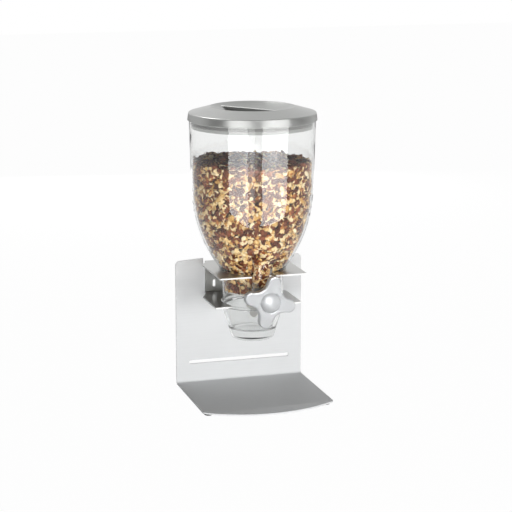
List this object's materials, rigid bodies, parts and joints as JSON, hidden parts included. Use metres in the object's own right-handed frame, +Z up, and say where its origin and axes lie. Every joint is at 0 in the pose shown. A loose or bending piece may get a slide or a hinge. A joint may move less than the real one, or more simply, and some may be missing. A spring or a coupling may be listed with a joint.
{
  "type": "gravity bulk food bin",
  "caption": "Clear bulk food hopper with a lift-off lid, portion wheel, turning knob and catch cup, hung in a folded sheet stand.",
  "frame": {"origin": "on the table plane under the middle of the whole object's box; the neck's vertical axis is 6.69 mm behind it", "axes": "+Z up, front (knob and base lip) towards -Y, +X to the right seen from the front"},
  "size_m": [0.18, 0.1844, 0.3945],
  "materials": {
    "stand_sheet": "satin, fine grain along the width",
    "bracket_sheet": "satin, fine grain",
    "steel": "bright",
    "clear_plastic": "clear, polished",
    "black_plastic": "matt",
    "bush_plastic": "matt",
    "silver_plastic": "silver grey, fine matt texture",
    "knob_plastic": "silver white, satin",
    "gasket_rubber": "soft, matt",
    "blade_silicone": "milky, flexible",
    "foot_rubber": "matt"
  },
  "bodies": {
    "stand": {"stand": "stand_sheet", "bracket": "bracket_sheet", "bracket_screws": "steel", "bracket_nuts": "steel", "foot_front_left": "foot_rubber", "foot_front_right": "foot_rubber", "foot_rear_left": "foot_rubber", "foot_rear_right": "foot_rubber"},
    "hopper": {"hopper": "clear_plastic", "front_bearing": "black_plastic", "rear_bush": "bush_plastic"},
    "lid": {"lid": "silver_plastic", "lid_gasket": "gasket_rubber"},
    "wheel": {"drive_shaft": "steel", "shaft_clip": "steel", "wheel_hub": "bush_plastic", "blade_1": "blade_silicone", "blade_2": "blade_silicone", "blade_3": "blade_silicone", "blade_4": "blade_silicone", "knob": "knob_plastic", "knob_screw": "steel", "knob_cap": "knob_plastic"},
    "cup": {"catch_cup": "clear_plastic"}
  },
  "joints": [
    {"name": "hopper_lift", "type": "slide", "parent": "stand", "child": "hopper", "axis": [0, 0, 1], "range_m": [0, 0.1]},
    {"name": "lid_lift", "type": "slide", "parent": "hopper", "child": "lid", "axis": [0, 0, 1], "range_m": [0, 0.05]},
    {"name": "knob_turn", "type": "hinge", "parent": "hopper", "child": "wheel", "pos_m": [0, -0.06531, 0.148], "axis": [0, 1, 0], "continuous": true},
    {"name": "cup_pull", "type": "slide", "parent": "hopper", "child": "cup", "axis": [0, 0, -1], "range_m": [0, 0.04]}
  ]
}
